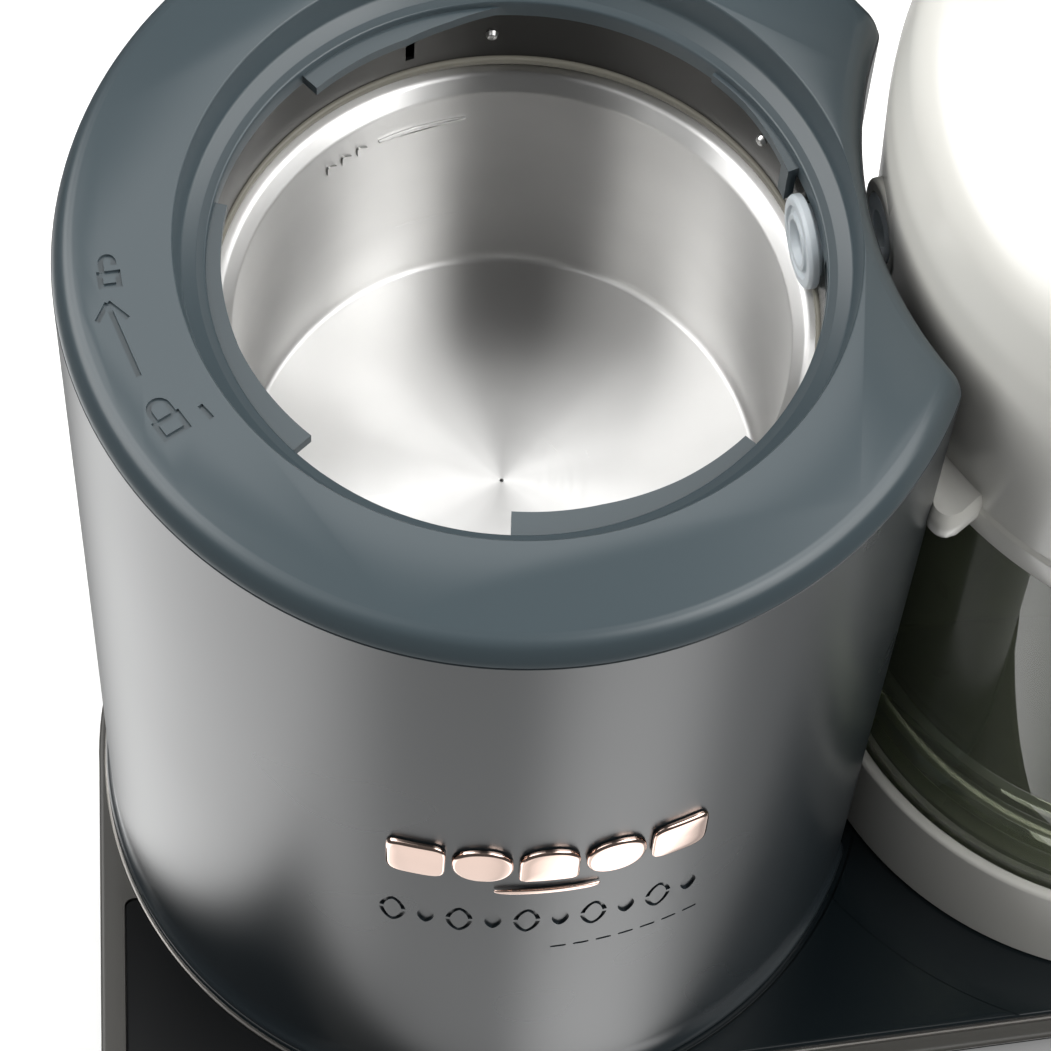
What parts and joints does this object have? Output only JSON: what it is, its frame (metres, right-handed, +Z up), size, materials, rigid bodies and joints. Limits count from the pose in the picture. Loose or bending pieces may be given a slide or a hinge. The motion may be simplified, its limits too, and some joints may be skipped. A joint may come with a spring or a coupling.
{
  "type": "baby food maker",
  "caption": "Table-top baby food maker with a steam boiler column, a glass blending bowl under a tall lid and a flat base.",
  "frame": {"origin": "middle of the machine's outline, on the surface that it stands on", "axes": "+X from the boiler column towards the bowl and its handle, -Y to the front, +Z up"},
  "size_m": [0.3455, 0.1743, 0.3125],
  "materials": {
    "slate_plastic": "satin moulded",
    "grey_plastic": "satin moulded",
    "warm_grey_plastic": "satin moulded",
    "black_gloss": "polished",
    "silver_trim": "bright satin",
    "brushed_steel": "brushed",
    "aluminium": "turned",
    "cream_plastic": "gloss moulded",
    "bowl_glass": "clear pressed",
    "clear_silicone": "translucent",
    "rose_gold": "polished plating",
    "rubber": "moulded",
    "smoke_plastic": "smoked translucent",
    "circuit_board": "solder mask"
  },
  "bodies": {
    "base": {"badge_bar": "rose_gold", "badge_tile_1": "rose_gold", "badge_tile_2": "rose_gold", "badge_tile_3": "rose_gold", "badge_tile_4": "rose_gold", "badge_tile_5": "rose_gold", "base_housing": "grey_plastic", "boiler_collar": "brushed_steel", "bottom_plate": "grey_plastic", "bottom_screw_1": "brushed_steel", "bottom_screw_2": "brushed_steel", "bottom_screw_3": "brushed_steel", "bottom_screw_4": "brushed_steel", "column_shell": "slate_plastic", "control_panel": "black_gloss", "cord_gland": "rubber", "deck_cover": "slate_plastic", "display_board": "circuit_board", "foot_1": "rubber", "foot_2": "rubber", "foot_3": "rubber", "foot_4": "rubber", "foot_5": "rubber", "foot_6": "rubber", "heater_plate": "aluminium", "heating_element": "brushed_steel", "interlock_switch": "black_gloss", "ledge_panel": "black_gloss", "main_board": "circuit_board", "motor_can": "brushed_steel", "motor_mount": "grey_plastic", "power_relay": "black_gloss", "steam_duct": "clear_silicone", "steam_seal": "clear_silicone", "tank": "brushed_steel", "tank_carrier": "grey_plastic", "tank_gasket": "cream_plastic", "thermal_fuse": "cream_plastic", "thermostat": "aluminium", "top_ring": "slate_plastic", "trim_band": "silver_trim"},
    "rotor": {"motor_shaft": "brushed_steel", "drive_coupling": "grey_plastic", "cooling_fan": "grey_plastic"},
    "pin": {"interlock_pin": "cream_plastic"},
    "bowl": {"bowl_collar": "warm_grey_plastic", "bowl_glass": "bowl_glass", "bowl_handle": "warm_grey_plastic", "blade_bearing": "grey_plastic"},
    "blade": {"blade_hub": "grey_plastic", "blade": "brushed_steel"},
    "basket": {"steam_basket": "smoke_plastic", "basket_floor": "smoke_plastic"},
    "lid_gasket": {"lid_seal": "clear_silicone"},
    "lid": {"lid_shell": "cream_plastic", "lid_steam_inlet": "clear_silicone"}
  },
  "joints": [
    {"name": "bowl_lift", "type": "slide", "parent": "base", "child": "bowl", "axis": [0, 0, 1], "range_m": [0, 0.2]},
    {"name": "lid_turn", "type": "hinge", "parent": "bowl", "child": "lid_gasket", "pos_m": [0.067, 0, 0.224], "axis": [0, 0, 1], "range_deg": [0, 22]},
    {"name": "lid_lift", "type": "slide", "parent": "lid_gasket", "child": "lid", "axis": [0, 0, 1], "range_m": [0, 0.22]},
    {"name": "basket_lift", "type": "slide", "parent": "bowl", "child": "basket", "axis": [0, 0, 1], "range_m": [0, 0.11]},
    {"name": "motor_spin", "type": "hinge", "parent": "base", "child": "rotor", "pos_m": [0.067, 0, 0.03], "axis": [0, 0, 1], "continuous": true},
    {"name": "blade_spin", "type": "hinge", "parent": "bowl", "child": "blade", "pos_m": [0.067, 0, 0.09], "axis": [0, 0, 1], "continuous": true},
    {"name": "interlock_press", "type": "slide", "parent": "base", "child": "pin", "axis": [0, 0, 1], "range_m": [-0.003, 0], "stiffness_N_per_m": 300}
  ],
  "couplings": [
    {"joint": "basket_lift", "follows": "lid_lift", "ratio": 0.5},
    {"joint": "blade_spin", "follows": "motor_spin", "ratio": 1}
  ]
}
